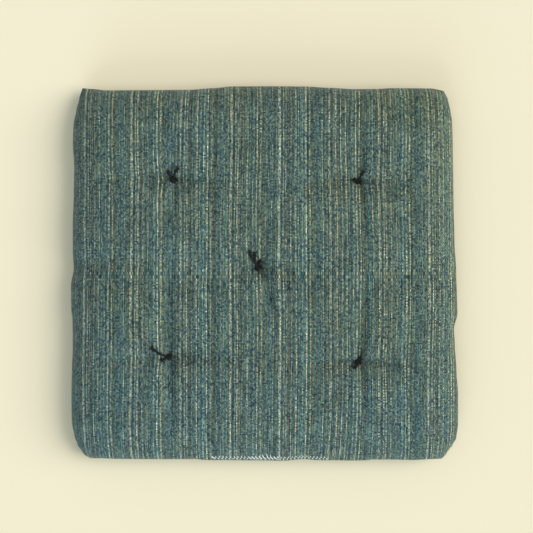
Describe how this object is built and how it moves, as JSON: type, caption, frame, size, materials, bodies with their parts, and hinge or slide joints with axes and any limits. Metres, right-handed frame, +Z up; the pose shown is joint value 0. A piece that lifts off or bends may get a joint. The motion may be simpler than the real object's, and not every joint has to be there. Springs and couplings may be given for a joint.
{
  "type": "floor cushion",
  "caption": "Low square floor cushion: a cover of striped woven cloth folded at one edge and sewn at three, filled with stacked cotton sheets and tufted with thread ties.",
  "frame": {"origin": "middle of the footprint, on the floor under the cushion", "axes": "+Z up through the thickness, +X to the right across the stripes, +Y along the stripes to the folded far edge"},
  "size_m": [0.45, 0.434, 0.056],
  "materials": {
    "striped_cloth": "matt plain-woven cotton, blue-green with fine cream and dark warp stripes",
    "cotton_batting": "soft matt cotton wadding, off-white",
    "tie_thread": "matt cotton thread, near black",
    "closing_thread": "satin cotton thread, pale",
    "seam_thread": "satin sewing thread, dark blue-green"
  },
  "bodies": {
    "root": {"cover_cloth": "striped_cloth", "side_seam_left": "seam_thread", "side_seam_right": "seam_thread", "near_seam_left": "seam_thread", "near_seam_right": "seam_thread", "closing_stitches": "closing_thread", "batting_bottom_sheet": "cotton_batting", "batting_lower_sheet": "cotton_batting", "batting_middle_sheet": "cotton_batting", "batting_upper_sheet": "cotton_batting", "batting_crown_sheet": "cotton_batting", "batting_corner_far_left": "cotton_batting", "batting_corner_far_right": "cotton_batting", "batting_corner_near_left": "cotton_batting", "batting_corner_near_right": "cotton_batting", "tie_centre": "tie_thread", "tie_far_left": "tie_thread", "tie_far_right": "tie_thread", "tie_near_left": "tie_thread", "tie_near_right": "tie_thread"}
  },
  "joints": []
}
